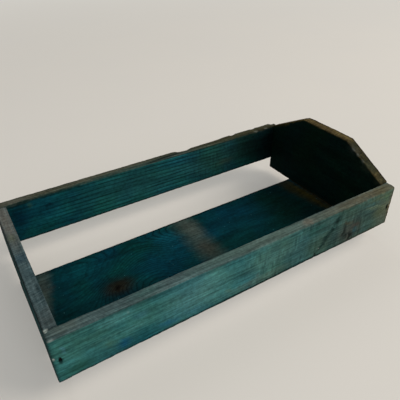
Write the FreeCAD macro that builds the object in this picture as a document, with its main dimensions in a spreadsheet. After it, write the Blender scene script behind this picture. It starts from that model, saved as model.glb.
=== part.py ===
import FreeCAD, Part
import os
import Sketcher

# Open tool caddy of five nailed boards: two end boards stand on a bottom board, and a rail runs along
# the front and the back. One end is raised, with its two top corners cut off at a slant.
# Millimetres. The origin is on the surface that the caddy stands on, midway along its length and width.
# +X points to the raised end, +Y to the back and +Z up.

# Driving dimensions: name, value and meaning.
DRIVING = [
    ("caddy_length", 559, "overall length, over the outer faces of the end boards"),
    ("caddy_width", 300, "overall width, over the outer faces of the rails"),
    ("board_thickness", 16, "thickness of every board"),
    ("rail_height", 72, "width of the board that each rail is cut from"),
    ("rail_lift", 22, "lower edge of the rails above the lower edge of the end boards"),
    ("raised_end_height", 140, "height of the raised end board"),
    ("corner_cut_run", 82, "length along the top of each slanted corner cut"),
    ("bottom_board_width", 140, "width of the bottom board, which leaves a slot on each side"),
    ("edge_ease", 1.2, "radius of the eased edges"),
    ("nail_length", 40, "length of a finishing nail"),
    ("nail_shank_diameter", 2.2, "shank of a finishing nail"),
    ("nail_head_diameter", 3.4, "head of a finishing nail"),
    ("nail_head_height", 1.4, "height of that head"),
    ("nail_dimple_diameter", 1.6, "mouth of the dimple in the head"),
    ("nail_dimple_depth", 0.5, "depth of that dimple"),
    ("nail_point_length", 4, "length of the tapered point"),
    ("nail_set", 2, "depth of the head below the surface of the board"),
    ("nail_clearance", 0.05, "gap between a nail and the wood, around it and past its point"),
    ("bottom_nail_spacing", 90, "distance between the two nails at each end of the bottom board"),
]

# Lengths worked out from the driving dimensions, as expressions on the sheet.
HALF_LENGTH = "Sizes.caddy_length / 2"
HALF_WIDTH = "Sizes.caddy_width / 2"
THICKNESS = "Sizes.board_thickness"
RAIL_HEIGHT = "Sizes.rail_height"
END_BOARD_HALF_WIDTH = f"({HALF_WIDTH} - {THICKNESS})"
SIDE_HEIGHT = f"(Sizes.rail_lift + {RAIL_HEIGHT})"
RAISED_TOP_HALF_WIDTH = f"({END_BOARD_HALF_WIDTH} - Sizes.corner_cut_run)"
NAIL_REACH = f"({HALF_LENGTH} - {THICKNESS} / 2)"
NAIL_SPREAD = "Sizes.bottom_nail_spacing / 2"
HEAD_RADIUS = "Sizes.nail_head_diameter / 2"
SHANK_RADIUS = "Sizes.nail_shank_diameter / 2"
HEAD_HOLE_RADIUS = f"({HEAD_RADIUS} + Sizes.nail_clearance)"
HEAD_HOLE_DEPTH = "(Sizes.nail_set + Sizes.nail_head_height)"
SHANK_HOLE_RADIUS = f"({SHANK_RADIUS} + Sizes.nail_clearance)"
SHANK_HOLE_DEPTH = f"(Sizes.nail_set + Sizes.nail_length - {THICKNESS} + Sizes.nail_clearance)"

X_AXIS, Z_AXIS = FreeCAD.Vector(1, 0, 0), FreeCAD.Vector(0, 0, 1)
QUARTER_TURN, HALF_TURN, FULL_TURN = 90, 180, 360
# Codes that a sketch uses for its own origin, its upright axis, and the points of a line or a circle.
ORIGIN_CODES = (-1, 1)
UPRIGHT_AXIS_CODE = -2
START_CODE, END_CODE, CENTRE_CODE = 1, 2, 3
LENGTH_TOLERANCE = 1e-4

doc = FreeCAD.newDocument("tool_caddy")
sheet = doc.addObject("Spreadsheet::Sheet", "Sizes")
for row, (alias, value, meaning) in enumerate(DRIVING, start=1):
    sheet.set(f"A{row}", meaning)
    sheet.set(f"B{row}", str(value))
    sheet.setAlias(f"B{row}", alias)
doc.recompute()


def value_of(expression):
    return float(sheet.evalExpression(expression))


def new_body(label, x="0", y="0", z="0", turn_axis=Z_AXIS, turn=0):
    """A sub-part whose own origin stands at the place that the three expressions give."""
    body = doc.addObject("PartDesign::Body", label)
    body.Label = label
    body.Placement = FreeCAD.Placement(FreeCAD.Vector(), FreeCAD.Rotation(turn_axis, turn))
    for letter, expression in (("x", x), ("y", y), ("z", z)):
        body.setExpression(f"Placement.Base.{letter}", expression)
    return body


def new_sketch(body, name, plane_role, offset="0"):
    """A sketch on one of the body's own planes, moved along that plane's normal by the offset."""
    sketch = body.newObject("Sketcher::SketchObject", name)
    plane = next(feature for feature in body.Origin.OriginFeatures if feature.Role == plane_role)
    sketch.AttachmentSupport = [(plane, "")]
    sketch.MapMode = "FlatFace"
    sketch.setExpression("AttachmentOffset.Base.z", offset)
    return sketch


def locate(sketch, geometry, point, name, across, up):
    """Fixes a point of the sketch at two distances from the sketch's origin, bound to the sheet."""
    for kind, letter, expression in (("DistanceX", "across", across), ("DistanceY", "up", up)):
        constraint = Sketcher.Constraint(kind, *ORIGIN_CODES, geometry, point, value_of(expression))
        constraint_name = f"{name}_{letter}"
        sketch.renameConstraint(sketch.addConstraint(constraint), constraint_name)
        sketch.setExpression(f"Constraints.{constraint_name}", expression)


def draw_outline(sketch, corners):
    """Straight lines joined end to end round the corners, which are vectors."""
    following = corners[1:] + corners[:1]
    lines = [sketch.addGeometry(Part.LineSegment(*ends)) for ends in zip(corners, following)]
    for line, next_line in zip(lines, lines[1:] + lines[:1]):
        sketch.addConstraint(Sketcher.Constraint("Coincident", line, END_CODE, next_line, START_CODE))
    return lines


def draw_mirrored_outline(sketch, right_corners):
    """An outline alike on both sides of the sketch's upright axis.

    The corners of its right side run from the lowest to the highest, as pairs of expressions.
    """
    right = [FreeCAD.Vector(value_of(across), value_of(up)) for across, up in right_corners]
    left = [FreeCAD.Vector(-corner.x, corner.y) for corner in reversed(right)]
    lines = draw_outline(sketch, right + left)
    for number, (across, up) in enumerate(right_corners):
        line, twin = lines[number], lines[-1 - number]
        locate(sketch, line, START_CODE, f"corner{number}", across, up)
        mirror = Sketcher.Constraint("Symmetric", line, START_CODE, twin, START_CODE, UPRIGHT_AXIS_CODE)
        sketch.addConstraint(mirror)


def draw_holes(sketch, radius, centres):
    """Circles of one radius, with centres given as pairs of expressions."""
    for number, (across, up) in enumerate(centres):
        centre = FreeCAD.Vector(value_of(across), value_of(up))
        circle = sketch.addGeometry(Part.Circle(centre, Z_AXIS, value_of(radius)))
        locate(sketch, circle, CENTRE_CODE, f"hole{number}", across, up)
        name = f"hole{number}_radius"
        sketch.renameConstraint(
            sketch.addConstraint(Sketcher.Constraint("Radius", circle, value_of(radius))), name)
        sketch.setExpression(f"Constraints.{name}", radius)


def add_board(body, plane_role, right_corners):
    """The plain board: an outline padded to the thickness of the stock."""
    sketch = new_sketch(body, body.Label + "_outline", plane_role)
    draw_mirrored_outline(sketch, right_corners)
    pad = body.newObject("PartDesign::Pad", body.Label + "_stock")
    pad.Profile = sketch
    pad.setExpression("Length", THICKNESS)
    doc.recompute()
    return pad


def ease_edges(body, board, is_eased):
    """Rounds the edges of the plain board that is_eased picks."""
    names = [f"Edge{number}" for number, edge in enumerate(board.Shape.Edges, start=1) if is_eased(edge)]
    fillet = body.newObject("PartDesign::Fillet", body.Label + "_eased_edges")
    fillet.Base = (board, names)
    fillet.setExpression("Radius", "Sizes.edge_ease")
    doc.recompute()
    return fillet


def add_nail_holes(body, name, plane_role, centres, radius, depth, offset="0", against_normal=True):
    """Round holes cut into the body from a plane, along its normal or against it."""
    volume_before = body.Shape.Volume
    sketch = new_sketch(body, f"{body.Label}_{name}_centres", plane_role, offset)
    draw_holes(sketch, radius, centres)
    pocket = body.newObject("PartDesign::Pocket", f"{body.Label}_{name}")
    pocket.Profile = sketch
    pocket.setExpression("Length", depth)
    pocket.Reversed = not against_normal
    doc.recompute()
    if body.Shape.Volume >= volume_before:
        raise RuntimeError(f"{pocket.Name} cuts nothing")
    return pocket


def add_mirror_image(body, feature, plane_role):
    """The same cut on the other side of one of the body's own planes."""
    plane = next(item for item in body.Origin.OriginFeatures if item.Role == plane_role)
    mirrored = body.newObject("PartDesign::Mirrored", feature.Name + "_far_side")
    mirrored.Originals = [feature]
    mirrored.MirrorPlane = (plane, [""])
    body.Tip = mirrored
    doc.recompute()


def runs_lengthwise(edge):
    return abs(edge.tangentAt(edge.FirstParameter).dot(X_AXIS)) > 1 - LENGTH_TOLERANCE


def is_top_arris(edge):
    """The edges of an end board's two broad faces at and above the top of the rails."""
    return not runs_lengthwise(edge) and edge.CenterOfMass.z > value_of(SIDE_HEIGHT) - LENGTH_TOLERANCE


def make_rail(label, y, turn=0):
    """A board on edge, nailed through each end; its outer face looks along its own -Y."""
    body = new_body(label, y=y, z=f"{THICKNESS} + Sizes.rail_lift", turn=turn)
    board = add_board(body, "XZ_Plane", [(HALF_LENGTH, "0"), (HALF_LENGTH, RAIL_HEIGHT)])
    ease_edges(body, board, runs_lengthwise)
    centres = [(sign + NAIL_REACH, f"{RAIL_HEIGHT} / 2") for sign in ("", "-")]
    add_nail_holes(body, "shank_holes", "XZ_Plane", centres, SHANK_HOLE_RADIUS, THICKNESS, offset=THICKNESS)
    add_nail_holes(body, "head_holes", "XZ_Plane", centres, HEAD_HOLE_RADIUS, HEAD_HOLE_DEPTH,
                   offset=THICKNESS)
    return body


def make_end_board(label, x, right_corners):
    """A board that stands on the bottom board, between the rails, with the nail holes in its edges."""
    body = new_body(label, x=x, z=THICKNESS)
    board = add_board(body, "YZ_Plane", right_corners)
    ease_edges(body, board, is_top_arris)
    middle = f"{THICKNESS} / 2"
    foot_centres = [(middle, sign + NAIL_SPREAD) for sign in ("", "-")]
    add_nail_holes(body, "foot_holes", "XY_Plane", foot_centres, SHANK_HOLE_RADIUS, SHANK_HOLE_DEPTH,
                   against_normal=False)
    rail_centre = [(middle, f"Sizes.rail_lift + {RAIL_HEIGHT} / 2")]
    side_hole = add_nail_holes(body, "side_hole", "XZ_Plane", rail_centre, SHANK_HOLE_RADIUS,
                               SHANK_HOLE_DEPTH, offset=END_BOARD_HALF_WIDTH)
    add_mirror_image(body, side_hole, "XZ_Plane")
    return body


def make_bottom_board(label):
    """The board that the ends stand on, nailed from below."""
    body = new_body(label, y="-Sizes.bottom_board_width / 2")
    board = add_board(body, "XY_Plane", [(HALF_LENGTH, "0"), (HALF_LENGTH, "Sizes.bottom_board_width")])
    ease_edges(body, board, runs_lengthwise)
    centres = [(across + NAIL_REACH, f"Sizes.bottom_board_width / 2 {up} {NAIL_SPREAD}")
               for across in ("", "-") for up in ("+", "-")]
    add_nail_holes(body, "shank_holes", "XY_Plane", centres, SHANK_HOLE_RADIUS, THICKNESS,
                   against_normal=False)
    add_nail_holes(body, "head_holes", "XY_Plane", centres, HEAD_HOLE_RADIUS, HEAD_HOLE_DEPTH,
                   against_normal=False)
    return body


def make_nail(label, x, y, z, turn=0):
    """A finishing nail turned about its own Z axis: head at its origin, point along +Z."""
    body = new_body(label, x, y, z, X_AXIS, turn)
    sketch = new_sketch(body, label + "_profile", "XZ_Plane")
    profile = [
        ("0", "Sizes.nail_dimple_depth"),
        ("Sizes.nail_dimple_diameter / 2", "0"),
        (HEAD_RADIUS, "0"),
        (HEAD_RADIUS, "Sizes.nail_head_height"),
        (SHANK_RADIUS, "Sizes.nail_head_height"),
        (SHANK_RADIUS, "Sizes.nail_length - Sizes.nail_point_length"),
        ("0", "Sizes.nail_length"),
    ]
    corners = [FreeCAD.Vector(value_of(across), value_of(up)) for across, up in profile]
    for number, line in enumerate(draw_outline(sketch, corners)):
        locate(sketch, line, START_CODE, f"corner{number}", *profile[number])
    turned = body.newObject("PartDesign::Revolution", label + "_turned")
    turned.Profile = sketch
    turned.ReferenceAxis = (sketch, ["V_Axis"])
    turned.Angle = FULL_TURN
    return body


def make_nail_group(label, places, turn=0):
    """Nails that share one node, each a solid of its own."""
    group = doc.addObject("Part::Compound", label)
    group.Label = label
    group.Links = [make_nail(f"{label}_{number}", *place, turn)
                   for number, place in enumerate(places, start=1)]
    return group


def rail_nail_places(y):
    height = f"{THICKNESS} + Sizes.rail_lift + {RAIL_HEIGHT} / 2"
    return [(sign + NAIL_REACH, y, height) for sign in ("-", "")]


def bottom_nail_places(x):
    return [(x, sign + NAIL_SPREAD, "Sizes.nail_set") for sign in ("-", "")]


sub_parts = [
    make_bottom_board("bottom_board"),
    make_end_board("low_end_board", f"-{HALF_LENGTH}",
                   [(END_BOARD_HALF_WIDTH, "0"), (END_BOARD_HALF_WIDTH, SIDE_HEIGHT)]),
    make_end_board("raised_end_board", f"{HALF_LENGTH} - {THICKNESS}",
                   [(END_BOARD_HALF_WIDTH, "0"), (END_BOARD_HALF_WIDTH, SIDE_HEIGHT),
                    (RAISED_TOP_HALF_WIDTH, "Sizes.raised_end_height")]),
    make_rail("front_rail", f"-{END_BOARD_HALF_WIDTH}"),
    make_rail("back_rail", END_BOARD_HALF_WIDTH, HALF_TURN),
    make_nail_group("front_rail_nails", rail_nail_places(f"Sizes.nail_set - {HALF_WIDTH}"), -QUARTER_TURN),
    make_nail_group("back_rail_nails", rail_nail_places(f"{HALF_WIDTH} - Sizes.nail_set"), QUARTER_TURN),
    make_nail_group("low_end_bottom_nails", bottom_nail_places("-" + NAIL_REACH)),
    make_nail_group("raised_end_bottom_nails", bottom_nail_places(NAIL_REACH)),
]
doc.recompute()

for item in doc.Objects:
    if "Invalid" in item.State or "Error" in item.State:
        raise RuntimeError(f"{item.Name} failed: {item.State}")
for sub_part in sub_parts:
    if sub_part.Shape.isNull() or not sub_part.Shape.isValid():
        raise RuntimeError(f"{sub_part.Label} has no valid shape")

os.makedirs("parts", exist_ok=True)
for sub_part in sub_parts:
    sub_part.Shape.exportStep(os.path.join("parts", sub_part.Label + ".step"))
    box = sub_part.Shape.BoundBox
    print(f"{sub_part.Label}: {len(sub_part.Shape.Solids)} solid(s), "
          f"{box.XLength:.1f} x {box.YLength:.1f} x {box.ZLength:.1f} mm, from z {box.ZMin:.1f}")
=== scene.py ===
import math
from collections.abc import Sequence
from typing import NamedTuple

import bmesh
import bpy
from mathutils import Euler, Matrix, Vector, noise


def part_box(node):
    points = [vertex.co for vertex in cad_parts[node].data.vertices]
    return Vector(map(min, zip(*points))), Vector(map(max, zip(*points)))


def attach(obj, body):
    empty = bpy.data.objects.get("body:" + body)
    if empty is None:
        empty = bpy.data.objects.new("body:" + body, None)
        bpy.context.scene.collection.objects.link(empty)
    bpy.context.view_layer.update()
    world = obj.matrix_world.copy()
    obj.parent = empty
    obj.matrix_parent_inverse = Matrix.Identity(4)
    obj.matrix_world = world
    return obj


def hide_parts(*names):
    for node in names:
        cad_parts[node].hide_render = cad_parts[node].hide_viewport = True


# Open tool caddy: five boards of rough-sawn softwood under a blue-green stain, joined with sunk nails. The
# model is in metres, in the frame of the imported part: +X to the raised end, +Y to the back, +Z up, and the
# origin on the table under the middle of the caddy. Lengths written here are millimetres.
MM = 0.001

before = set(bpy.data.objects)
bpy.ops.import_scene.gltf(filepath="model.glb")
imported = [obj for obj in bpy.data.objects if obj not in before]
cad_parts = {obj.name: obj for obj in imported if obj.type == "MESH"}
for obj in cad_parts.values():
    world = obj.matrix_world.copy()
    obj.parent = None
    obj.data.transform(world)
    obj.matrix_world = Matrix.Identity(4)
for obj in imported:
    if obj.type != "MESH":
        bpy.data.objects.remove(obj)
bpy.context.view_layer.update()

X, Y, Z = range(3)

# The stock: slightly rounded arrises, and mesh cells that are finer across the grain than along it. An edge
# of the mesh that is shorter than LONG_EDGE belongs to an arris.
ARRIS_RADIUS = 0.7
ARRIS_SEGMENTS = 3
ARRIS_LEAST_TURN = math.radians(20)
CELL_ALONG_GRAIN = 2.4
CELL_ACROSS_GRAIN = 1.4
LONG_EDGE = 5.0
MOSTLY_ALONG = 0.85
CREASE_ANGLE = math.radians(40)

# The raised end: half widths of its level top and of the whole board, and heights of its top and of its
# shoulders, which stand a little above the rails. SLANT_PITCH turns a height under the slant into a
# distance from it.
RAISED_TOP_HALF_WIDTH = 52.0
RAISED_HALF_WIDTH = 134.0
RAISED_TOP_HEIGHT = 156.0
RAISED_SHOULDER_HEIGHT = 112.0
SLANT_PITCH = 0.87

# The bottom board was nailed on a little out of square.
BOTTOM_TURN = Matrix.Rotation(math.radians(0.45), 3, "Z")

# Where the sunk nails sit, and the hole of each: a mouth that setting the nail tore in the wood, longer
# across the grain, then the seat of the head and the shank. The drill starts a little outside the board.
RAIL_OUTER_FACE = 150.0
NAIL_REACH = 271.5
RAIL_NAIL_HEIGHT = 74.0
BOTTOM_NAIL_SPREAD = 45.0
NAIL_MOUTH_RADIUS = 2.1
NAIL_MOUTH_DEPTH = 2.0
NAIL_MOUTH_TEAR = 2.7
NAIL_SEAT_RADIUS = 1.78
NAIL_SEAT_DEPTH = 3.4
NAIL_SHANK_RADIUS = 1.15
NAIL_SHANK_DEPTH = 20.0
DRILL_START = -0.5
DRILL_WIDTH = 10.0
DRILL_SEGMENTS = 20
MERGE_DISTANCE = 0.01

# The hole is painted dark as shade from just under its rim, and hardly any relief shows within its lip.
HOLE_LIP = 0.4
HOLE_RIM_PAINTED_SHADE = 0.6
HOLE_PAINTED_SHADE_DEPTHS = (0.1, 1.0)
HOLE_RELIEF_SHARE = 0.2

# Relief of a weathered board, as height and length of each pattern: a slow warp, fine grit, ridges of late
# wood over a part of each growth ring, and arrises worn back by uneven amounts.
WARP_HEIGHT = 0.22
WARP_LENGTH = 60.0
GRIT_HEIGHT = 0.05
GRIT_LENGTH = 3.2
RIDGE_HEIGHT = 0.1
RIDGE_RISE = (0.45, 0.85)
RIDGE_FALL = (0.9, 1.0)
ARRIS_WEAR = 0.18
ARRIS_RAGGEDNESS = 0.4
RAGGED_LENGTH = 7.0
RAGGED_FLOOR = -0.4

# The growth rings waver across the grain, and much more slowly along it.
RING_WAVER = 2.4
RING_WAVER_LENGTH = 22.0
RING_RIPPLE = 0.8
RING_RIPPLE_LENGTH = 7.0
RING_LENGTHENING = 9

# Distances over which wear dies away from an arris, a dark rim from an outer arris, the deep stain of the
# open end grain from an end, and the grey from a sawn edge, whose limit is ragged. RIM_SIDE is the share of
# the thickness over which the rim comes in.
ARRIS_BAND = (0.2, 2.6)
RIM_BAND = (0.8, 5.0)
RIM_SIDE = (0.6, 0.9)
END_GRAIN_BAND = (0.3, 1.6)
END_GRAIN_DARKNESS = 0.5
GREY_FROM = 0.4
GREY_TO = 2.4
GREY_RAGGEDNESS = 1.2

# How ragged the rim of a shallow chip is, as a share of its reach, and over what length. Deeper chips are
# smoother, so that no face folds. Within CHIP_FLOOR of its reach a chip has its full depth.
CHIP_UNEVENNESS = 0.25
CHIP_RIM_LENGTH = 2.5
CHIP_FLOOR = 0.35

# Strokes of the saw show in patches, and a stretch along the grain fades outside this share of its reach.
SAW_PATCH_LENGTH = 24.0
SAW_PATCH_EDGE = (-0.3, 0.3)
STRETCH_CORE = 0.3

# What each point of a board notes for its stain: distance from the heart of the log, grey of the sawn
# edges, bare wood, dark stain and painted shade, nearness to the outer face, strokes of the saw and lines of
# the rings.
NOTES = ("ring", "worn", "bare", "dark", "outer", "sawn", "lined")


class Knot(NamedTuple):
    """A knot, which pushes the growth rings out round itself."""
    centre: tuple
    swell: float
    reach: tuple


class Chip(NamedTuple):
    """A bite out of the surface: bare shows pale wood in it, and dark blackens it."""
    centre: tuple
    reach: tuple
    depth: float
    bare: float = 0.0
    dark: float = 0.0


class Blotch(NamedTuple):
    """A patch of other colour with a soft, ragged edge, turned by degrees about X, Y and Z."""
    colour: str
    strength: float
    centre: tuple
    size: tuple
    turn: tuple = (0, 0, 0)


class Stain(NamedTuple):
    """Stain colours: deep on the inner faces and paler outside, each from its bluest to its greenest drift,
    and the sawn edges from their darkest to their palest mottle."""
    inner_blue: str
    inner_green: str
    outer_blue: str
    outer_green: str
    edge_dark: str
    edge_pale: str


class Swing(NamedTuple):
    """How far each pattern lightens and darkens the stain."""
    fibre: float = 0.15
    streak: float = 0.16
    mottle: float = 0.32
    cloud: float = 0.34
    saw: float = 0.34


class Stretch(NamedTuple):
    """A stretch along the grain in which a pattern shows, and how strongly."""
    middle: float
    reach: float
    share: float = 1.0


class Board(NamedTuple):
    """A board: how it was cut from the log, its stain and its wear."""
    node: str
    # Axes along the grain and through the thickness, and the side that faces out of the caddy.
    grain: int
    broad: int
    outer_side: int
    # A point in the heart of the log, the log's direction, and the width of its growth rings.
    heart: tuple
    lean: tuple
    ring_width: float
    # Sets the board's patterns apart from those of the others.
    seed: int
    stain: Stain
    swing: Swing = Swing()
    # How much paler the late wood is.
    ring_contrast: float = 0.12
    # How grey the sawn edges are, how strongly torn strokes show on them, and how dark the outer arrises.
    edge_wear: float = 1.0
    edge_tear: float = 0.5
    rim: float = 0.0
    # Stretches where strokes of the saw show across the faces, and where the growth rings show as lines.
    sawn: Sequence = ()
    lined: Sequence = (Stretch(0, 1000),)
    # How strongly specks of sawdust show.
    dust: float = 0.0
    knots: Sequence = ()
    chips: Sequence = ()
    blotches: Sequence = ()


def linear(hex_colour):
    """An sRGB hex colour as linear RGBA."""
    channels = [int(hex_colour[place:place + 2], 16) / 255 for place in (1, 3, 5)]
    return [c / 12.92 if c <= 0.04045 else ((c + 0.055) / 1.055) ** 2.4 for c in channels] + [1.0]


def features_per_metre(millimetres):
    """Noise scale at which one feature is that many millimetres wide."""
    return 1 / (millimetres * MM)


def smooth_step(edge_from, edge_to, value):
    """Goes from 0 to 1, with a soft start and end, as the value goes from one edge to the other."""
    share = min(max((value - edge_from) / (edge_to - edge_from), 0.0), 1.0)
    return share * share * (3 - 2 * share)


def add_node(owner, kind, inputs=None, **settings):
    """Adds a node with its settings; an input is a value, a socket, or a node, for its first output."""
    node = owner.node_tree.nodes.new(kind)
    for name, value in settings.items():
        setattr(node, name, value)
    for key, value in (inputs or {}).items():
        if isinstance(value, bpy.types.Node):
            value = value.outputs[0]
        if isinstance(value, bpy.types.NodeSocket):
            owner.node_tree.links.new(value, node.inputs[key])
        else:
            node.inputs[key].default_value = value
    return node


# The five boards

STAIN = Stain("#03333F", "#043A38", "#295F65", "#32625C", "#2C4044", "#4F6062")

# The dark check that runs up from a nick in the lower edge of the front rail, as points along and up.
CHECK_PATH = [(119, 48), (125, 52), (131, 57), (134, 63), (140, 69), (147, 78), (154, 91)]

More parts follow.
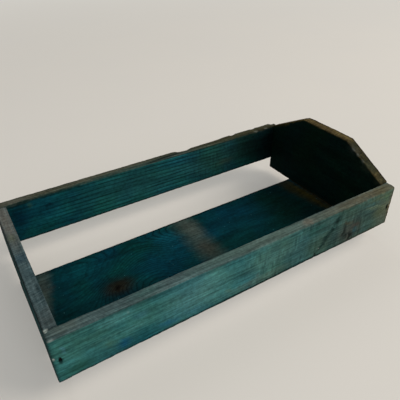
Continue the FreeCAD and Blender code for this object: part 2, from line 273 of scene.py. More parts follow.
BOARDS = [
    Board("front_rail", X, Y, -1, heart=(0, -90, -70), lean=(1, 0, 0.02), ring_width=5.2, seed=11,
          stain=STAIN._replace(edge_dark="#2A3B3D", edge_pale="#506465"),
          swing=Swing(0.34, 0.18, 0.26, 0.34, 0.36), ring_contrast=0.22, edge_tear=0.3,
          sawn=[Stretch(18, 62), Stretch(90, 50), Stretch(200, 80)], lined=[Stretch(260, 600)],
          knots=[Knot((190, -146, 62), 26, (52, 30, 24)), Knot((-172, -150, 34), 22, (42, 20, 28))],
          chips=[Chip((-279.5, -150, 80), (3, 3, 2.4), 1.4, bare=0.85),
                 Chip((-275, -150, 110), (5, 2.5, 2), 0.8, bare=0.25),
                 Chip((-276.5, -134.5, 110), (3.2, 3.2, 2.5), 0.8, bare=0.6),
                 Chip((-188, -150, 100.5), (2.4, 2.5, 3), 0.4, bare=0.12),
                 # The nick in the lower edge, with a pale splinter over it.
                 Chip((116, -150, 43), (2.8, 5, 7.5), 0.9, dark=1.0),
                 Chip((114.5, -150, 38), (3.4, 5, 4), 0.2, dark=1.0),
                 Chip((121.6, -150, 53), (1.6, 2, 1.4), 0.5, bare=0.55),
                 # The worn top arris at the right, and arrises that are only dark.
                 Chip((228, -150, 110), (75, 7, 6), 2.0),
                 Chip((0, -150, 38), (400, 7, 7), 0.0, dark=0.8),
                 Chip((-279.5, -150, 74), (4, 4, 60), 0.0, dark=0.4),
                 # Painted shade: a dark line down the front arris of the right end.
                 Chip((279.5, -150, 74), (4, 4, 60), 0.0, dark=0.6),
                 Chip((-190, -150, 106), (130, 3, 4), 0.0, dark=0.35)]
                + [Chip((x, -150, z), (4.0, 2, 4.0), 0.6, dark=0.36) for x, z in CHECK_PATH],
          blotches=[Blotch("#333E34", 0.78, (200, -150, 74), (175, 9, 90)),
                    Blotch("#2E3A2E", 0.4, (140, -150, 56), (60, 9, 22)),
                    Blotch("#2B3D33", 0.4, (112, -150, 102), (34, 9, 10)),
                    Blotch("#5A5440", 0.5, (278, -150, 70), (40, 9, 60)),
                    # The top edge goes from grey-brown to pale teal and on to olive.
                    Blotch("#4E5750", 0.5, (-258, -139, 110), (24, 9, 5)),
                    Blotch("#36605A", 0.35, (-158, -142, 110), (26, 12, 5)),
                    Blotch("#586C64", 0.6, (30, -142, 110), (120, 14, 5)),
                    Blotch("#56736E", 0.45, (-50, -142, 110), (62, 12, 5)),
                    Blotch("#5E5B49", 0.75, (225, -142, 110), (130, 14, 5)),
                    Blotch("#6C6156", 0.5, (97, -144, 110), (14, 7, 5)),
                    Blotch("#4A4630", 0.55, (252, -142, 110), (30, 14, 5)),
                    # The knot and the dark streaks in it.
                    Blotch("#393A36", 0.7, (188, -150, 60), (30, 8, 26)),
                    Blotch("#0E1615", 0.8, (175, -150, 64), (5, 6, 18)),
                    Blotch("#0A1010", 0.85, (181, -150, 55), (5, 6, 5)),
                    Blotch("#0C1312", 0.85, (188, -150, 50), (5, 6, 11)),
                    Blotch("#5E645C", 0.5, (183, -150, 48), (3, 6, 6)),
                    Blotch("#1A4650", 0.6, (199, -150, 56), (6, 6, 10), (0, 14, 0)),
                    Blotch("#43403A", 0.65, (201, -150, 67), (12, 6, 5), (0, 15, 0)),
                    Blotch("#45412F", 0.5, (180, -150, 79), (16, 6, 4), (0, 16, 0)),
                    Blotch("#243C3D", 0.65, (153, -150, 64), (14, 6, 20)),
                    # The check and the dark stain round it.
                    Blotch("#0B2322", 0.9, (128, -150, 56), (10, 6, 5), (0, -35, 0)),
                    Blotch("#0B2322", 0.92, (136, -150, 70), (11, 6, 7), (0, -60, 0)),
                    Blotch("#0D2625", 0.88, (146, -150, 80), (10, 6, 6), (0, -40, 0)),
                    Blotch("#0D2625", 0.9, (155, -150, 93), (14, 6, 8), (0, -60, 0)),
                    Blotch("#173130", 0.6, (145, -150, 48), (8, 6, 6)),
                    Blotch("#173F3A", 0.65, (110, -150, 96), (26, 6, 6), (0, 6, 0)),
                    Blotch("#173F3A", 0.55, (104, -150, 88), (12, 6, 5)),
                    # The blue hump low on the left, with the green round it.
                    Blotch("#155059", 0.8, (-170, -150, 43), (35, 6, 22)),
                    Blotch("#0C4A6C", 0.75, (-196, -150, 51), (11, 6, 10), (0, -35, 0)),
                    Blotch("#12474C", 0.6, (-164, -150, 60), (18, 6, 4)),
                    Blotch("#1A5570", 0.65, (-136, -150, 49), (17, 6, 6), (0, 10, 0)),
                    Blotch("#2A6274", 0.5, (-98, -150, 50), (18, 6, 6)),
                    Blotch("#4C8482", 0.45, (-180, -150, 73), (18, 6, 6)),
                    Blotch("#5C9A98", 0.4, (-203, -150, 99), (28, 6, 10)),
                    Blotch("#3A6A78", 0.4, (-172, -150, 87), (12, 6, 7)),
                    Blotch("#38594A", 0.6, (-213, -150, 64), (12, 6, 10), (0, 25, 0)),
                    Blotch("#1B4339", 0.75, (-256, -150, 48), (30, 6, 13)),
                    # Streaks along the grain and flecks.
                    Blotch("#5488A0", 0.3, (-266, -150, 90), (3, 6, 8)),
                    Blotch("#56948C", 0.45, (-216, -150, 76), (28, 6, 3)),
                    Blotch("#1D4E50", 0.5, (-232, -150, 97), (11, 6, 4)),
                    Blotch("#56948C", 0.25, (-70, -150, 102), (22, 6, 5)),
                    Blotch("#5A5044", 0.28, (6, -150, 60), (5, 6, 5)),
                    Blotch("#4F5A3E", 0.3, (-44, -150, 57), (9, 6, 5), (0, 30, 0)),
                    Blotch("#465048", 0.55, (10, -150, 49), (80, 6, 10)),
                    Blotch("#42574F", 0.42, (28, -150, 82), (70, 9, 36)),
                    Blotch("#5F8B89", 0.34, (-92, -150, 78), (58, 9, 42)),
                    # The right end, greener above and browner along its arrises.
                    Blotch("#34563E", 0.5, (265, -150, 97), (10, 6, 11)),
                    Blotch("#3D452F", 0.6, (246, -150, 102), (36, 6, 9)),
                    Blotch("#3A2E16", 0.6, (235, -150, 41), (60, 6, 5)),
                    Blotch("#554222", 0.5, (278, -150, 68), (5, 9, 40)),
                    Blotch("#5E6C56", 0.5, (242, -150, 85), (32, 6, 3), (0, 10, 0)),
                    Blotch("#48533C", 0.5, (255, -150, 72), (18, 6, 12))]),
    Board("back_rail", X, Y, 1, heart=(0, 165, -70), lean=(1, 0, -0.012), ring_width=7.0, seed=23,
          stain=STAIN._replace(inner_blue="#083A44", inner_green="#0B4440", edge_dark="#282C25",
                               edge_pale="#4C4E42"),
          swing=Swing(0.34, 0.12, 0.3, 0.24, 0.3), ring_contrast=0.85, edge_tear=0.2,
          sawn=[Stretch(110, 70)], lined=[Stretch(-30, 270)],
          # The outer top arris is worn away in places, and the inner one is splintered near the raised end.
          chips=[Chip((95, 150, 110), (68, 15, 12), 1.9),
                 Chip((57, 150, 110), (20, 13, 20), 2.2),
                 Chip((171, 150, 110), (8, 8, 8), 1.3),
                 Chip((221, 150, 110), (8, 9, 8), 0.9),
                 Chip((220, 135.5, 110), (6, 3.5, 3), 0.7, bare=0.12),
                 Chip((246, 136.5, 110), (5, 4, 3), 0.7, bare=0.12),
                 Chip((276, 144, 110), (15, 20, 16), 3.2),
                 Chip((0, 134, 38), (400, 6, 6), 0.0, dark=0.6),
                 Chip((-215, 134, 109), (70, 3, 3.5), 0.0, dark=0.35)],
          blotches=[Blotch("#1C4040", 0.55, (-30, 134, 78), (150, 10, 60)),
                    Blotch("#021C2C", 0.8, (-249, 134, 86), (20, 10, 26)),
                    Blotch("#02100E", 0.8, (-248, 134, 107), (26, 10, 7)),
                    Blotch("#2A4A3C", 0.5, (-230, 134, 98), (5, 10, 6)),
                    Blotch("#031A24", 0.65, (-200, 134, 89), (11, 10, 5)),
                    Blotch("#0A3648", 0.5, (40, 134, 98), (60, 10, 12)),
                    Blotch("#1A3028", 0.6, (130, 134, 76), (90, 10, 60)),
                    Blotch("#2E3A2C", 0.4, (145, 134, 65), (22, 10, 8)),
                    # Painted shade: the inner face darkens to near black towards the raised end.
                    Blotch("#101E17", 0.62, (200, 134, 88), (46, 10, 44)),
                    Blotch("#020403", 0.96, (266, 134, 70), (98, 12, 95)),
                    # The top edge is olive at the right and grey at the left.
                    Blotch("#3E3B26", 0.55, (190, 142, 110), (150, 16, 6)),
                    Blotch("#5C5E56", 0.5, (-252, 142, 110), (32, 14, 5)),
                    # The stain laps over the inner arris at the left.
                    Blotch("#0B2826", 0.95, (-250, 133.5, 110), (270, 6, 5))]),
    # The low end's outer face has a deeper stain with painted shade in it.
    Board("low_end_board", Y, X, -1, heart=(-290, 0, -20), lean=(0.02, 1, 0.03), ring_width=4.6, seed=37,
          stain=STAIN._replace(outer_blue="#0F3239", outer_green="#133834", edge_dark="#2C3E42",
                               edge_pale="#4A5C5F"),
          swing=Swing(0.24, 0.16, 0.32, 0.34, 0.34), edge_tear=1.0,
          chips=[Chip((-276.5, -134.5, 110), (3.2, 3.2, 2.5), 0.8, bare=0.6),
                 # Painted shade along the outer top arris.
                 Chip((-279.5, 0, 110), (2.4, 400, 4), 0.0, dark=0.75)],
          blotches=[Blotch("#67645C", 0.68, (-271, 95, 110), (14, 85, 5)),
                    Blotch("#4E5A46", 0.5, (-272, 50, 110), (9, 12, 5)),
                    Blotch("#2E4450", 0.6, (-271, 0, 110), (12, 12, 5)),
                    Blotch("#34494F", 0.5, (-270, -32, 110), (12, 14, 5)),
                    Blotch("#4A4C48", 0.4, (-271, -118, 110), (14, 22, 5))]),
    # The raised end's inner stain is deeper, with painted shade in it as well.
    Board("raised_end_board", Y, X, 1, heart=(300, 0, 60), lean=(-0.01, 1, 0.05), ring_width=5.0, seed=51,
          stain=STAIN._replace(inner_blue="#031614", inner_green="#041810", edge_dark="#30291C",
                               edge_pale="#5F5435"), rim=0.75,
          chips=[Chip((271.5, 52, 156), (30, 10, 8), 0.5),
                 Chip((264, -70, 146.5), (3, 5, 4), 0.9, bare=0.1),
                 Chip((264.5, -80, 141), (3, 5, 4), 0.9, bare=0.1),
                 Chip((264, -92, 134), (3, 5, 4), 0.8, bare=0.08)],
          # The front slant is darker than the rest of the edges, and the foot and the back slant are brown.
          blotches=[Blotch("#0E1B15", 0.7, (271.5, -97, 132), (16, 54, 34)),
                    Blotch("#12201A", 0.55, (271.5, -63, 150), (16, 16, 10)),
                    Blotch("#2E3330", 0.5, (266, -70, 146), (9, 16, 12)),
                    Blotch("#343A2E", 0.45, (269, -104, 128), (12, 18, 12)),
                    Blotch("#363B2D", 0.45, (271, -128, 114), (14, 10, 8)),
                    Blotch("#2C2714", 0.65, (263.5, 10, 17), (6, 90, 5)),
                    Blotch("#3A3314", 0.6, (263.5, 93, 132), (5, 50, 3.5), (-29, 0, 0))]),
    Board("bottom_board", X, Z, -1, heart=(0, 40, -26), lean=(1, 0.02, 0.05), ring_width=5.0, seed=73,
          stain=STAIN._replace(inner_blue="#032A35", inner_green="#042F2F", edge_dark="#0C2A2C",
                               edge_pale="#1C3F40"),
          swing=Swing(0.26, 0.08, 0.3, 0.34, 0.0), ring_contrast=0.65, edge_wear=0.4,
          lined=[Stretch(-46, 46), Stretch(-130, 150, 0.65)], dust=0.45,
          knots=[Knot((-157, -28, 16), 20, (42, 22, 20)), Knot((-95, -25, 16), 75, (70, 87, 40))],
          # Painted shade: a dark line along the rear arris, over the open gap.
          chips=[Chip((0, 70, 16), (400, 6, 6), 0.0, dark=0.6)],
          # Painted shadow of the front rail along the front of the bottom board, and painted shade in its
          # corner by the low end.
          blotches=[Blotch("#021E26", 0.6, (-60, -62, 16), (300, 34, 8)),
                    Blotch("#021A20", 0.6, (-245, -40, 16), (40, 28, 8)),
                    Blotch("#07434C", 0.45, (-200, 44, 16), (50, 24, 8)),
                    Blotch("#032E3C", 0.6, (-88, -12, 16), (48, 34, 8)),
                    Blotch("#0A4254", 0.5, (-38, 28, 16), (28, 34, 8)),
                    Blotch("#043040", 0.65, (80, 24, 16), (78, 55, 8)),
                    # Painted shade cast by the raised end over the right part of the bottom board.
                    Blotch("#031A12", 0.8, (205, 0, 16), (75, 110, 8)),
                    # Brown along the foot of the raised end, grey along the low end and across the middle.
                    Blotch("#302A0A", 0.74, (251, 12, 16), (19, 110, 8), (0, 0, 9)),
                    Blotch("#3E3810", 0.5, (254.5, 10, 16), (7, 90, 8)),
                    Blotch("#454F4A", 0.72, (-259.5, 12, 16), (15, 120, 8), (0, 0, -14)),
                    Blotch("#374540", 0.62, (2, 0, 16), (27, 400, 8), (0, 0, 1)),
                    Blotch("#545D57", 0.5, (8, 42, 16), (20, 36, 8)),
                    Blotch("#42382F", 0.35, (4, -18, 16), (20, 26, 8)),
                    # The knot.
                    Blotch("#03121A", 0.75, (-158, -26, 16), (42, 30, 8)),
                    Blotch("#1C170A", 0.75, (-156, -24, 16), (27, 20, 8)),
                    Blotch("#030303", 0.95, (-158, -25, 16), (6, 5, 8))]),
]


def edge_runs_along(edge, axis):
    """True for a long edge that runs mostly along the axis."""
    span = edge.verts[1].co - edge.verts[0].co
    return span.length > LONG_EDGE * MM and abs(span[axis]) > MOSTLY_ALONG * span.length


def refine(bm, axis, cell, is_picked=lambda middle: True):
    """Divides the long edges that run along an axis into cells of about one length."""
    edges = [edge for edge in bm.edges
             if edge_runs_along(edge, axis) and is_picked((edge.verts[0].co + edge.verts[1].co) / 2)]
    longest = max(abs(edge.verts[1].co[axis] - edge.verts[0].co[axis]) for edge in edges)
    cuts = max(round(longest / (cell * MM)) - 1, 1)
    bmesh.ops.subdivide_edges(bm, edges=edges, cuts=cuts, use_grid_fill=True)


def slant_top_corners(bm):
    """Lowers the two outer top corners of the raised end to its shoulders."""
    for side in (-1, 1):
        everything = bm.verts[:] + bm.edges[:] + bm.faces[:]
        bmesh.ops.bisect_plane(bm, geom=everything, plane_co=(0, side * RAISED_TOP_HALF_WIDTH * MM, 0),
                               plane_no=(0, 1, 0))
    top = max(vertex.co.z for vertex in bm.verts)
    outer_y = max(vertex.co.y for vertex in bm.verts)
    corners = [vertex for vertex in bm.verts
               if top - vertex.co.z < MM and outer_y - abs(vertex.co.y) < MM]
    bmesh.ops.translate(bm, verts=corners, vec=(0, 0, RAISED_SHOULDER_HEIGHT * MM - top))


def raised_profile(across):
    """Height of the raised end's top at a distance across the caddy."""
    slope = (RAISED_TOP_HEIGHT - RAISED_SHOULDER_HEIGHT) / (RAISED_HALF_WIDTH - RAISED_TOP_HALF_WIDTH)
    return RAISED_TOP_HEIGHT - max(abs(across) - RAISED_TOP_HALF_WIDTH, 0) * slope


def make_stock(board):
    """The sawn board before it is drilled: rounded arrises and a fine grid for the relief."""
    low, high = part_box(board.node)
    bm = bmesh.new()
    bmesh.ops.create_cube(bm, size=1)
    bmesh.ops.scale(bm, vec=high - low, verts=bm.verts)
    bmesh.ops.translate(bm, vec=(low + high) / 2, verts=bm.verts)
    raised = board.node == "raised_end_board"
    if raised:
        slant_top_corners(bm)
    sharp = [edge for edge in bm.edges if edge.calc_face_angle() > ARRIS_LEAST_TURN]
    bmesh.ops.bevel(bm, geom=sharp, offset=ARRIS_RADIUS * MM, affect="EDGES", segments=ARRIS_SEGMENTS,
                    profile=0.5, material=-1)
    for axis in (X, Y, Z):
        cell = CELL_ALONG_GRAIN if axis == board.grain else CELL_ACROSS_GRAIN
        if raised and axis == Y:
            refine(bm, axis, cell, lambda middle: abs(middle.y) < RAISED_TOP_HALF_WIDTH * MM)
            for side in (-1, 1):
                refine(bm, axis, cell, lambda middle: side * middle.y > RAISED_TOP_HALF_WIDTH * MM)
        else:
            refine(bm, axis, cell)
    return bm


def nail_places(board):
    """Mouth of each nail hole in a board, and the direction in which it is drilled."""
    if board.node == "bottom_board":
        return [(BOTTOM_TURN.inverted() @ Vector((x, y, 0)), Vector((0, 0, 1)))
                for x in (-NAIL_REACH, NAIL_REACH) for y in (-BOTTOM_NAIL_SPREAD, BOTTOM_NAIL_SPREAD)]
    if board.broad == Y:
        inward = Vector((0, -board.outer_side, 0))
        return [(Vector((x, board.outer_side * RAIL_OUTER_FACE, RAIL_NAIL_HEIGHT)), inward)
                for x in (-NAIL_REACH, NAIL_REACH)]
    return []


def sawn_axis(board):
    """The axis across the sawn edges of a board."""
    return X + Y + Z - board.broad - board.grain


def make_drill(board):
    """The shape that the nails take out of a board: a dished mouth, the seat of the head and the shank."""
    bm = bmesh.new()
    profile = [(0, DRILL_START), (NAIL_MOUTH_RADIUS, DRILL_START), (NAIL_SEAT_RADIUS, NAIL_MOUTH_DEPTH),
               (NAIL_SEAT_RADIUS, NAIL_SEAT_DEPTH), (NAIL_SHANK_RADIUS, NAIL_SEAT_DEPTH),
               (NAIL_SHANK_RADIUS, NAIL_SHANK_DEPTH), (0, NAIL_SHANK_DEPTH)]
    tear = Vector((1, 1, 1))
    tear[sawn_axis(board)] = NAIL_MOUTH_TEAR
    for mouth, direction in nail_places(board):
        across = direction.orthogonal().normalized()
        points = [bm.verts.new((mouth + across * radius + direction * depth) * MM)
                  for radius, depth in profile]
        line = [bm.edges.new(pair) for pair in zip(points, points[1:])]
        bmesh.ops.spin(bm, geom=points + line, cent=mouth * MM, axis=direction, angle=math.tau,
                       steps=DRILL_SEGMENTS, use_merge=True)
        arms = [(vertex, vertex.co - mouth * MM) for vertex in bm.verts]
        outside = [vertex for vertex, arm in arms
                   if arm.dot(direction) < 0 and arm.length < DRILL_WIDTH * MM]
        bmesh.ops.scale(bm, vec=tear, verts=outside, space=Matrix.Translation(-mouth * MM))
    bmesh.ops.remove_doubles(bm, verts=bm.verts, dist=MERGE_DISTANCE * MM)
    return bm


def mesh_object(name, bm):
    """A new object with the shape of a bmesh, its faces turned outwards."""
    bmesh.ops.recalc_face_normals(bm, faces=bm.faces)
    mesh = bpy.data.meshes.new(name)
    bm.to_mesh(mesh)
    bm.free()
    piece = bpy.data.objects.new(name, mesh)
    bpy.context.scene.collection.objects.link(piece)
    return piece


def drill(piece, board):
    """Cuts the nail holes and drops the drill."""
    if not nail_places(board):
        return
    cutter = mesh_object(board.node + "_drill", make_drill(board))
    cut = piece.modifiers.new("nail_holes", "BOOLEAN")
    cut.operation = "DIFFERENCE"
    cut.solver = "EXACT"
    cut.object = cutter
    plain = piece.data
    drilled = bpy.data.meshes.new_from_object(piece.evaluated_get(bpy.context.evaluated_depsgraph_get()))
    piece.modifiers.clear()
    piece.data = drilled
    bpy.data.meshes.remove(plain)
    bpy.data.objects.remove(cutter)


def ring_depth(point, board):
    """Distance from the heart of the log in millimetres, wavering and pushed out round the knots."""
    log = Vector(board.lean).normalized()
    arm = point - Vector(board.heart)
    depth = (arm - log * arm.dot(log)).length
    stretched = Vector(point)
    stretched[board.grain] /= RING_LENGTHENING
    depth += RING_WAVER * noise.noise(stretched / RING_WAVER_LENGTH + Vector((board.seed, 0, 0)))
    depth += RING_RIPPLE * noise.noise(stretched / RING_RIPPLE_LENGTH + Vector((0, board.seed, 0)))
    for knot in board.knots:
        arm = point - Vector(knot.centre)
        depth += knot.swell * math.exp(-sum((arm[axis] / knot.reach[axis]) ** 2 for axis in (X, Y, Z)))
    return depth


def face_gaps(point, board, low, high):
    """Distance of a point from the board's nearest face across each axis."""
    gaps = [min(point[axis] - low[axis], high[axis] - point[axis]) for axis in (X, Y, Z)]
    if board.node == "raised_end_board":
        gaps[Z] = min(point.z - low.z, SLANT_PITCH * (raised_profile(point.y) - point.z))
    return [max(gap, 0.0) for gap in gaps]


def nearness(place_along, stretches):
    """How far a place along the grain lies within any of the stretches, from 0 to 1."""
    shares = []
    for stretch in stretches:
        distance = abs(place_along - stretch.middle) / stretch.reach
        shares.append(stretch.share * (1 - smooth_step(STRETCH_CORE, 1.0, distance)))
    return max(shares, default=0.0)


def chip_normal(mesh, chip):
    """Outward direction of the surface at a chip; on an arris it lies between the two faces."""
    centre = Vector(chip.centre) * MM
    nearest = min(mesh.vertices, key=lambda vertex: (vertex.co - centre).length_squared)
    return nearest.normal.copy()


def chip_bite(point, chip):
    """How much of a chip's depth is taken out at a point, from 0 at its ragged rim to 1."""
    arm = point - Vector(chip.centre)
    distance = math.sqrt(sum((arm[axis] / chip.reach[axis]) ** 2 for axis in (X, Y, Z)))
    unevenness = CHIP_UNEVENNESS / max(chip.depth, 1.0) ** 2
    return 1 - smooth_step(CHIP_FLOOR, 1.0, distance + unevenness * noise.noise(point / CHIP_RIM_LENGTH))


def relief(point, board, ring, arris, ragged):
    """Height of the weathered surface over the sawn one."""
    ring_share = (ring / board.ring_width) % 1
    rise = WARP_HEIGHT * noise.noise(point / WARP_LENGTH + Vector((board.seed, 0, 0)))
    rise += GRIT_HEIGHT * noise.noise(point / GRIT_LENGTH)
    rise += RIDGE_HEIGHT * (smooth_step(*RIDGE_RISE, ring_share) - smooth_step(*RIDGE_FALL, ring_share))
    return rise - arris * (ARRIS_WEAR + ARRIS_RAGGEDNESS * max(ragged, RAGGED_FLOOR))


def weather(piece, board):
    """Raises the grain, wears the arrises, takes out the chips, and notes each point's state."""
    low, high = (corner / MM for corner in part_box(board.node))
    mesh = piece.data
    chips = [(chip, chip_normal(mesh, chip)) for chip in board.chips]
    holes = nail_places(board)
    notes = {name: [] for name in NOTES}
    moved = []
    for vertex in mesh.vertices:
        point = vertex.co / MM
        gaps = face_gaps(point, board, low, high)
        nearest_arris = sorted(gaps)[1]
        arris = 1 - smooth_step(*ARRIS_BAND, nearest_arris)
        ring = ring_depth(point, board)
        ragged = noise.noise(point / RAGGED_LENGTH + Vector((0, 0, board.seed)))
        rise = relief(point, board, ring, arris, ragged)
        bare = 0.0
        dark = END_GRAIN_DARKNESS * (1 - smooth_step(*END_GRAIN_BAND, gaps[board.grain]))
        bitten = Vector()
        for chip, outward in chips:
            bite = chip_bite(point, chip)
            bitten -= outward * chip.depth * bite
            bare = max(bare, chip.bare * bite)
            dark = max(dark, chip.dark * bite)
        for mouth, direction in holes:
            arm = point - mouth
            arm[sawn_axis(board)] /= NAIL_MOUTH_TEAR
            sunk = arm.dot(direction)
            off_axis = (arm - direction * sunk).length
            if off_axis < NAIL_MOUTH_RADIUS + HOLE_LIP:
                # Painted shade inside the nail hole.
                dark = max(dark, smooth_step(*HOLE_PAINTED_SHADE_DEPTHS, sunk), HOLE_RIM_PAINTED_SHADE)
                rise *= HOLE_RELIEF_SHARE
        moved.append(vertex.co + (vertex.normal * rise + bitten) * MM)
        depth_share = (point[board.broad] - low[board.broad]) / (high[board.broad] - low[board.broad])
        outer = depth_share if board.outer_side > 0 else 1 - depth_share
        rim = board.rim * (1 - smooth_step(*RIM_BAND, nearest_arris)) * smooth_step(*RIM_SIDE, outer)
        grey_to = GREY_TO + GREY_RAGGEDNESS * ragged
        grey = 1 - smooth_step(GREY_FROM, grey_to, gaps[sawn_axis(board)])
        saw_patch = smooth_step(*SAW_PATCH_EDGE, noise.noise(point / SAW_PATCH_LENGTH))
        notes["ring"].append(ring)
        notes["worn"].append(board.edge_wear * grey)
        notes["bare"].append(bare)
        notes["dark"].append(max(dark, rim))
        notes["outer"].append(outer)
        notes["sawn"].append(nearness(point[board.grain], board.sawn) * saw_patch)
        notes["lined"].append(nearness(point[board.grain], board.lined))
    mesh.vertices.foreach_set("co", [value for place in moved for value in place])
    for name, values in notes.items():
        mesh.attributes.new(name, "FLOAT", "POINT").data.foreach_set("value", values)
    mesh.shade_smooth()
    mesh.set_sharp_from_angle(angle=CREASE_ANGLE)
    mesh.update()


# Stain and steel

# Sockets of a Mix node, which has several of the same name.
SHARE = 0
NUMBER_A, NUMBER_B = 2, 3
COLOUR_A, COLOUR_B = 6, 7
MIXED_COLOUR = 2

# A noise pattern lies about its mean, and mostly between a low and a high level. Two tints change over
# between closer levels.
NOISE_MEAN = 0.5
NOISE_LOW = 0.3
NOISE_HIGH = 0.7
TINT_LOW = 0.36
TINT_HIGH = 0.64

# How many times as long as wide the features of a pattern are: fibres and pools along the grain, strokes of
# the saw across it. The strokes on the sawn edges slant.
FIBRE_LENGTHENING = 22
POOL_LENGTHENING = 3
STROKE_LENGTHENING = 8
STROKE_SLANT = math.radians(30)


class Pattern(NamedTuple):
    """A noise pattern of the wood: its coordinates, the width of one feature, and how fine it is."""
    space: str
    width: float
    detail: float = 2.0
    roughness: float = 0.5


PATTERNS = {
    # Fibres are drawn coarser than the real ones, so that they show.
    "fibre": Pattern("along", 2.2, 3.0, 0.6),
    "streak": Pattern("along", 8),
    # The stain drifts between blue and green, and the rough surface took it unevenly.
    "drift": Pattern("plain", 55, 3.0),
    "mottle": Pattern("plain", 5, 4.0, 0.65),
    # Clouds where the stain pooled, and patches in which the ring lines are clear.
    "cloud": Pattern("pooled", 20, 4.0, 0.6),
    "clear_patch": Pattern("pooled", 30),
    # Strokes of the saw on the faces, and torn strokes and lines on the sawn edges.
    "saw": Pattern("across", 4),
    "torn": Pattern("slanted", 2, 3.0),
    "sawn_line": Pattern("along", 4, 4.0, 0.7),
    # The edges of the blotches waver along the grain, and are ragged with small bays.
    "waver": Pattern("along", 12, 3.0),
    "bay": Pattern("plain", 6, 3.0),
}
WAVER_REACH = 12.0
BAY_REACH = 9.0

# Shares of its size between which a blotch fades out.
BLOTCH_CORE = 0.1
BLOTCH_RIM = 1.3

# How pale a growth ring is from its early wood, at 0, to its late wood and back.
RING_LEVELS = ((0.14, 0.35), (0.32, 0.8), (0.62, 1.0), (0.9, 0.85))
# Levels of noise between which the ring lines become clear, and the share of them that is left between the
# clear patches and on the drier outer faces.
CLEAR_LOW = 0.38
CLEAR_HIGH = 0.6
FAINT_RING_SHARE = 0.4
OUTER_RING_SHARE = 0.5

# Shares of the thickness between which the deep stain of the inner faces goes over into the outer one.
OUTER_FROM = 0.45
OUTER_TO = 0.55

# How much the broad patterns are held back on the sawn edges.
EDGE_CALM = 0.6

# Specks of sawdust about 1.5 mm across and far apart: only the peaks of a 3 mm noise.
SPECK_WIDTH = 3.0
SPECK_LOW = 0.83
SPECK_HIGH = 0.92
SAWDUST = "#4F8C92"
# Near black for the dark note: the deep stain of the end grain, and painted shade in the nail holes and
# along some arrises.
DEEP_STAIN_AND_SHADE = "#050808"
BARE_WOOD = "#B9C6BF"

# Height of the fine roughness of the surface, and the share of the mottle in it.
ROUGH_HEIGHT = 0.4
ROUGH_MOTTLE_SHARE = 0.8

RUST_SPECK_WIDTH = 0.8


def empty_material(name):
    """A new material without any nodes."""
    material = bpy.data.materials.new(name)
    material.use_nodes = True
    material.node_tree.nodes.clear()
    return material


def wood_spaces(material, board):
    """Coordinates for a board's patterns: plain, drawn out along or across the grain, and slanting."""
    plain = add_node(material, "ShaderNodeTexCoord").outputs["Object"]
    spaces = {"plain": plain}
    for name, along, across, location in (("along", FIBRE_LENGTHENING, 1, (board.seed, 0, 0)),
                                          ("pooled", POOL_LENGTHENING, 1, (0, board.seed, 0)),
                                          ("across", 1, STROKE_LENGTHENING, (board.seed, 0, 0))):
        scale = [1 / across] * 3
        scale[board.grain] = 1 / along
        spaces[name] = add_node(material, "ShaderNodeMapping", {
            "Vector": plain, "Location": location, "Scale": scale})
    stroke = [STROKE_LENGTHENING] * 3
    stroke[board.grain] = 1
    spaces["slanted"] = add_node(material, "ShaderNodeMapping", {
        "Vector": plain, "Rotation": [STROKE_SLANT] * 3, "Scale": stroke}, vector_type="TEXTURE")
    return spaces


def stain_and_grey(material, board, wood, notes, outer_share):
    """The stain on the faces, drifting between blue and green, and the mottled grey of the sawn edges."""
    drift_share = add_node(material, "ShaderNodeMapRange", {
        "Value": wood["drift"], "From Min": TINT_LOW, "From Max": TINT_HIGH})
    edge_mix = add_node(material, "ShaderNodeMath", {
        0: wood["torn"], 1: board.edge_tear, 2: wood["sawn_line"]}, operation="MULTIPLY_ADD")
    torn_mean = NOISE_MEAN * board.edge_tear
    edge_share = add_node(material, "ShaderNodeMapRange", {
        "Value": edge_mix, "From Min": TINT_LOW + torn_mean, "From Max": TINT_HIGH + torn_mean})
    tints = []
    for share, first, second in ((drift_share, board.stain.inner_blue, board.stain.inner_green),
                                 (drift_share, board.stain.outer_blue, board.stain.outer_green),
                                 (edge_share, board.stain.edge_dark, board.stain.edge_pale)):
        tints.append(add_node(material, "ShaderNodeMix", {
            SHARE: share, COLOUR_A: linear(first), COLOUR_B: linear(second)},
            data_type="RGBA").outputs[MIXED_COLOUR])
    inner, outer, grey = tints
    face = add_node(material, "ShaderNodeMix", {
        SHARE: outer_share, COLOUR_A: inner, COLOUR_B: outer}, data_type="RGBA").outputs[MIXED_COLOUR]
    return add_node(material, "ShaderNodeMix", {
        SHARE: notes["worn"], COLOUR_A: face, COLOUR_B: grey}, data_type="RGBA").outputs[MIXED_COLOUR]


def add_blotches(material, board, plain, wood, colour):
    """A colour with the board's blotches over it, in the order in which they are listed."""
    ragged = plain
    for pattern, reach in ((wood["waver"], WAVER_REACH), (wood["bay"], BAY_REACH)):
        arm = add_node(material, "ShaderNodeVectorMath", {
            0: pattern.outputs["Color"], 1: [NOISE_MEAN] * 3}, operation="SUBTRACT")
        ragged = add_node(material, "ShaderNodeVectorMath", {
            0: arm, 1: [reach * MM] * 3, 2: ragged}, operation="MULTIPLY_ADD")
    for blotch in board.blotches:
        within = add_node(material, "ShaderNodeMapping", {
            "Vector": ragged, "Location": [value * MM for value in blotch.centre],
            "Rotation": [math.radians(value) for value in blotch.turn],
            "Scale": [value * MM for value in blotch.size]}, vector_type="TEXTURE")
        distance = add_node(material, "ShaderNodeVectorMath", {0: within}, operation="LENGTH")
        cover = add_node(material, "ShaderNodeMapRange", {
            "Value": distance.outputs["Value"], "From Min": BLOTCH_RIM, "From Max": BLOTCH_CORE,
            "To Max": blotch.strength}, interpolation_type="SMOOTHSTEP")
        colour = add_node(material, "ShaderNodeMix", {
            SHARE: cover, COLOUR_A: colour, COLOUR_B: linear(blotch.colour)},
            data_type="RGBA").outputs[MIXED_COLOUR]
    return colour


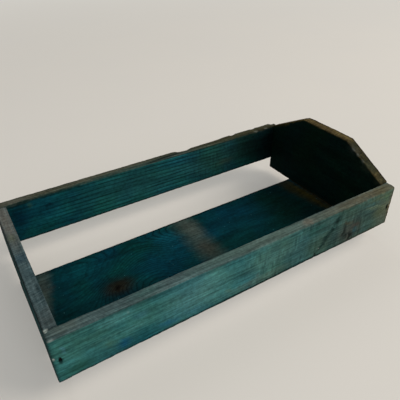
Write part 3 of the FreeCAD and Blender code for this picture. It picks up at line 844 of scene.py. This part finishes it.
def swing_lightness(material, lightness, patterns):
    """A lightness that each pattern raises and lowers by its own share."""
    for pattern, share in patterns:
        factor = add_node(material, "ShaderNodeMapRange", {
            "Value": pattern, "From Min": NOISE_LOW, "From Max": NOISE_HIGH,
            "To Min": 1 - share, "To Max": 1 + share})
        lightness = add_node(material, "ShaderNodeMath", {0: factor, 1: lightness}, operation="MULTIPLY")
    return lightness


def ring_lines(material, board, wood, notes, outer_share):
    """Lightness of the growth rings, whose lines come and go in patches and are fainter outside."""
    ring_count = add_node(material, "ShaderNodeMath", {
        0: notes["ring"], 1: 1 / board.ring_width}, operation="MULTIPLY")
    ring_share = add_node(material, "ShaderNodeMath", {0: ring_count}, operation="FRACT")
    late_wood = add_node(material, "ShaderNodeFloatCurve", {"Value": ring_share})
    curve = late_wood.mapping.curves[0]
    for position, level in RING_LEVELS:
        curve.points.new(position, level)
    curve.points[0].location = (0, 0)
    curve.points[-1].location = (1, 0)
    late_wood.mapping.update()
    ring_swing = add_node(material, "ShaderNodeMapRange", {
        "Value": wood["clear_patch"], "From Min": CLEAR_LOW, "From Max": CLEAR_HIGH,
        "To Min": FAINT_RING_SHARE * board.ring_contrast, "To Max": board.ring_contrast})
    inner_lines = add_node(material, "ShaderNodeMath", {
        0: ring_swing, 1: notes["lined"]}, operation="MULTIPLY")
    lines_kept = add_node(material, "ShaderNodeMapRange", {
        "Value": outer_share, "To Min": 1.0, "To Max": OUTER_RING_SHARE})
    shown = add_node(material, "ShaderNodeMath", {0: inner_lines, 1: lines_kept}, operation="MULTIPLY")
    ring_level = add_node(material, "ShaderNodeMapRange", {
        "Value": late_wood, "To Min": -1.0, "To Max": 1.0})
    return add_node(material, "ShaderNodeMath", {0: shown, 1: ring_level, 2: 1.0}, operation="MULTIPLY_ADD")


def stained_softwood(board):
    """Rough-sawn softwood under a thin blue-green water stain, matt.

    The open early wood drinks the stain and goes deep, the dense late wood stays paler, and the sawn edges
    dry to a mottled grey.
    """
    material = empty_material("stained_softwood_" + board.node)
    spaces = wood_spaces(material, board)
    wood = {}
    for name, pattern in PATTERNS.items():
        wood[name] = add_node(material, "ShaderNodeTexNoise", {
            "Vector": spaces[pattern.space], "Scale": features_per_metre(pattern.width),
            "Detail": pattern.detail, "Roughness": pattern.roughness})
    notes = {}
    for name in NOTES:
        notes[name] = add_node(material, "ShaderNodeAttribute", attribute_name=name).outputs["Fac"]
    outer_share = add_node(material, "ShaderNodeMapRange", {
        "Value": notes["outer"], "From Min": OUTER_FROM, "From Max": OUTER_TO})
    colour = stain_and_grey(material, board, wood, notes, outer_share)
    colour = add_blotches(material, board, spaces["plain"], wood, colour)
    # The broad patterns show less on the sawn edges than on the faces, the fine ones alike on both.
    saw_marks = add_node(material, "ShaderNodeMix", {
        SHARE: notes["sawn"], NUMBER_A: NOISE_MEAN, NUMBER_B: wood["saw"]})
    broad = swing_lightness(material, 1.0, ((wood["streak"], board.swing.streak),
                                            (wood["cloud"], board.swing.cloud),
                                            (saw_marks, board.swing.saw)))
    calm = add_node(material, "ShaderNodeMath", {0: notes["worn"], 1: EDGE_CALM}, operation="MULTIPLY")
    calmed = add_node(material, "ShaderNodeMix", {SHARE: calm, NUMBER_A: broad, NUMBER_B: 1.0})
    lightness = swing_lightness(material, calmed, ((wood["fibre"], board.swing.fibre),
                                                   (wood["mottle"], board.swing.mottle)))
    rings = ring_lines(material, board, wood, notes, outer_share)
    lightness = add_node(material, "ShaderNodeMath", {0: rings, 1: lightness}, operation="MULTIPLY")
    colour = add_node(material, "ShaderNodeHueSaturation", {"Value": lightness, "Color": colour}).outputs[0]
    layers = [(notes["dark"], DEEP_STAIN_AND_SHADE), (notes["bare"], BARE_WOOD)]
    if board.dust:
        specks = add_node(material, "ShaderNodeTexNoise", {
            "Vector": spaces["plain"], "Scale": features_per_metre(SPECK_WIDTH), "Detail": 0.0})
        dusty = add_node(material, "ShaderNodeMapRange", {
            "Value": specks, "From Min": SPECK_LOW, "From Max": SPECK_HIGH, "To Max": board.dust})
        layers.insert(0, (dusty, SAWDUST))
    for share, tint in layers:
        colour = add_node(material, "ShaderNodeMix", {
            SHARE: share, COLOUR_A: colour, COLOUR_B: linear(tint)}, data_type="RGBA").outputs[MIXED_COLOUR]
    roughness = add_node(material, "ShaderNodeMapRange", {
        "Value": wood["fibre"], "To Min": 0.75, "To Max": 0.95})
    height = add_node(material, "ShaderNodeMath", {
        0: wood["mottle"], 1: ROUGH_MOTTLE_SHARE, 2: wood["fibre"]}, operation="MULTIPLY_ADD")
    bump = add_node(material, "ShaderNodeBump", {
        "Height": height, "Strength": 0.35, "Distance": ROUGH_HEIGHT * MM})
    shader = add_node(material, "ShaderNodeBsdfPrincipled", {
        "Base Color": colour, "Roughness": roughness, "Normal": bump,
        "IOR": 1.5, "Specular IOR Level": 0.03})
    add_node(material, "ShaderNodeOutputMaterial", {"Surface": shader})
    return material


def nail_steel():
    """Plain drawn steel, dulled and darkened by the stain: fine specks of rust on grey metal."""
    material = empty_material("nail_steel")
    place = add_node(material, "ShaderNodeTexCoord").outputs["Object"]
    specks = add_node(material, "ShaderNodeTexNoise", {
        "Vector": place, "Scale": features_per_metre(RUST_SPECK_WIDTH), "Detail": 3.0})
    colour = add_node(material, "ShaderNodeMix", {
        SHARE: specks, COLOUR_A: linear("#1C1C1B"), COLOUR_B: linear("#15100C")},
        data_type="RGBA").outputs[MIXED_COLOUR]
    roughness = add_node(material, "ShaderNodeMapRange", {"Value": specks, "To Min": 0.35, "To Max": 0.7})
    shader = add_node(material, "ShaderNodeBsdfPrincipled", {
        "Base Color": colour, "Roughness": roughness, "Metallic": 1.0})
    add_node(material, "ShaderNodeOutputMaterial", {"Surface": shader})
    return material


for board in BOARDS:
    plank = mesh_object(board.node + "_plank", make_stock(board))
    drill(plank, board)
    weather(plank, board)
    if board.node == "bottom_board":
        plank.data.transform(BOTTOM_TURN.to_4x4())
    plank.data.materials.clear()
    plank.data.materials.append(stained_softwood(board))
    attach(plank, "root")
    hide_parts(board.node)

steel = nail_steel()
for node in ("front_rail_nails", "back_rail_nails", "low_end_bottom_nails", "raised_end_bottom_nails"):
    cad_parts[node].data.materials.clear()
    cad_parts[node].data.materials.append(steel)


# Floor, light and camera

BACKDROP = "#D6D3CC"
FLOOR_HALF_SIZE = 40000.0
# The floor lies just under the raised grain of the bottom board.
FLOOR_DROP = 0.3
TABLE_DRIFT_WIDTH = 300.0
# Distances from the caddy between which the floor fades to the backdrop, and the share of the backdrop that
# it shows from the start, which keeps the shadow pale.
FADE_FROM = 900.0
FADE_TO = 4000.0
FADE_START_SHARE = 0.35


def seen_share(owner):
    """Socket that is 1 where a ray comes from the camera, from a gloss or through glass."""
    ray = add_node(owner, "ShaderNodeLightPath")
    share = ray.outputs["Is Camera Ray"]
    for kind in ("Is Glossy Ray", "Is Transmission Ray"):
        share = add_node(owner, "ShaderNodeMath", {0: share, 1: ray.outputs[kind]},
                         operation="MAXIMUM").outputs[0]
    return share


def table_top():
    """Plain pale table: matt white laminate with a faint unevenness, fading far off to the backdrop."""
    material = empty_material("table_top")
    place = add_node(material, "ShaderNodeTexCoord").outputs["Object"]
    drift = add_node(material, "ShaderNodeTexNoise", {
        "Vector": place, "Scale": features_per_metre(TABLE_DRIFT_WIDTH)})
    colour = add_node(material, "ShaderNodeMix", {
        SHARE: drift, COLOUR_A: linear("#DCDAD5"), COLOUR_B: linear("#E0DDD6")},
        data_type="RGBA").outputs[MIXED_COLOUR]
    table = add_node(material, "ShaderNodeBsdfPrincipled", {
        "Base Color": colour, "Roughness": 0.9, "Specular IOR Level": 0.0})
    backdrop = add_node(material, "ShaderNodeEmission", {"Color": linear(BACKDROP), "Strength": 1.0})
    distance = add_node(material, "ShaderNodeVectorMath", {0: place}, operation="LENGTH").outputs["Value"]
    far = add_node(material, "ShaderNodeMapRange", {
        "Value": distance, "From Min": FADE_FROM * MM, "From Max": FADE_TO * MM,
        "To Min": FADE_START_SHARE}, interpolation_type="SMOOTHSTEP")
    fade = add_node(material, "ShaderNodeMath", {0: far, 1: seen_share(material)}, operation="MULTIPLY")
    surface = add_node(material, "ShaderNodeMixShader", {0: fade, 1: table, 2: backdrop})
    add_node(material, "ShaderNodeOutputMaterial", {"Surface": surface})
    return material


floor_bm = bmesh.new()
bmesh.ops.create_grid(floor_bm, x_segments=1, y_segments=1, size=FLOOR_HALF_SIZE * MM)
bmesh.ops.translate(floor_bm, vec=(0, 0, -FLOOR_DROP * MM), verts=floor_bm.verts)
floor = mesh_object("floor", floor_bm)
floor.data.materials.append(table_top())

# The lamps face the middle of the caddy.
LAMP_TARGET = (0, 0, 60)
LAMP_SIZE = 3000.0


def add_lamp(name, place, power, colour):
    """A square soft box at a place in millimetres, with a power in watts."""
    lamp = bpy.data.lights.new(name, "AREA")
    lamp.shape = "SQUARE"
    lamp.size = LAMP_SIZE * MM
    lamp.energy = power
    lamp.color = linear(colour)[:3]
    lamp_object = bpy.data.objects.new(name, lamp)
    lamp_object.location = Vector(place) * MM
    direction = Vector(LAMP_TARGET) - Vector(place)
    lamp_object.rotation_euler = direction.to_track_quat("-Z", "Y").to_euler()
    bpy.context.scene.collection.objects.link(lamp_object)


add_lamp("key_right", (3300, -2100, 3300), 190, "#FFF4E8")
add_lamp("rim_back", (300, 4000, 4600), 28, "#FFFFFF")
add_lamp("fill_front", (-400, -4500, 3150), 62, "#F2F6FF")

# An even pale surround, which lights the object less than it shows.
world = bpy.data.worlds.new("studio")
world.use_nodes = True
world.node_tree.nodes.clear()
sky_light = add_node(world, "ShaderNodeBackground", {"Color": linear("#F4F4F2"), "Strength": 0.32})
sky_shown = add_node(world, "ShaderNodeBackground", {"Color": linear(BACKDROP), "Strength": 1.0})
sky = add_node(world, "ShaderNodeMixShader", {0: seen_share(world), 1: sky_light, 2: sky_shown})
add_node(world, "ShaderNodeOutputWorld", {"Surface": sky})
bpy.context.scene.world = world

# The photograph's viewpoint: place, turn in degrees, and lens on a full-frame sensor.
CAMERA_PLACE = (-291.1, -482.5, 487.3)
CAMERA_TURN = (55.611, 0.659, -31.837)
CAMERA_LENS = 38.79
CAMERA_SENSOR = 36.0
CAMERA_CLIP_START = 10.0
camera = bpy.data.cameras.new("camera")
camera.lens = CAMERA_LENS
camera.sensor_width = CAMERA_SENSOR
camera.clip_start = CAMERA_CLIP_START * MM
camera_object = bpy.data.objects.new("camera", camera)
camera_object.location = Vector(CAMERA_PLACE) * MM
camera_object.rotation_euler = Euler([math.radians(angle) for angle in CAMERA_TURN])
bpy.context.scene.collection.objects.link(camera_object)
bpy.context.scene.camera = camera_object
bpy.context.scene.view_settings.view_transform = "Standard"

bpy.context.view_layer.update()
